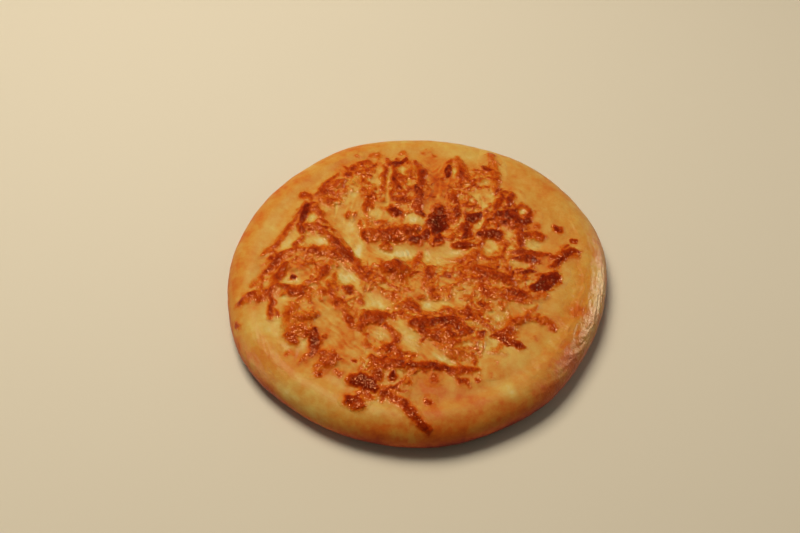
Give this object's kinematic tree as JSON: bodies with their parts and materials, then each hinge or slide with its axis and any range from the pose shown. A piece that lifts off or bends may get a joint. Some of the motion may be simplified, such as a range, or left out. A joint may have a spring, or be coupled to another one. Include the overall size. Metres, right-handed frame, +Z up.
{
  "type": "megrelian khachapuri",
  "caption": "Round shut cheese bread with grated cheese baked brown on top and a ring of bare golden crust.",
  "frame": {"origin": "middle of the flat underside", "axes": "+X to the right and +Y away from the viewer as the bread is served, +Z up"},
  "size_m": [0.2677, 0.263, 0.0325],
  "materials": {
    "baked_dough": "golden brown crust with a buttered sheen",
    "browned_cheese": "melted cheese, browned in spots, oily gloss"
  },
  "bodies": {
    "root": {"bread": "baked_dough", "cheese_topping": "browned_cheese"}
  },
  "joints": []
}
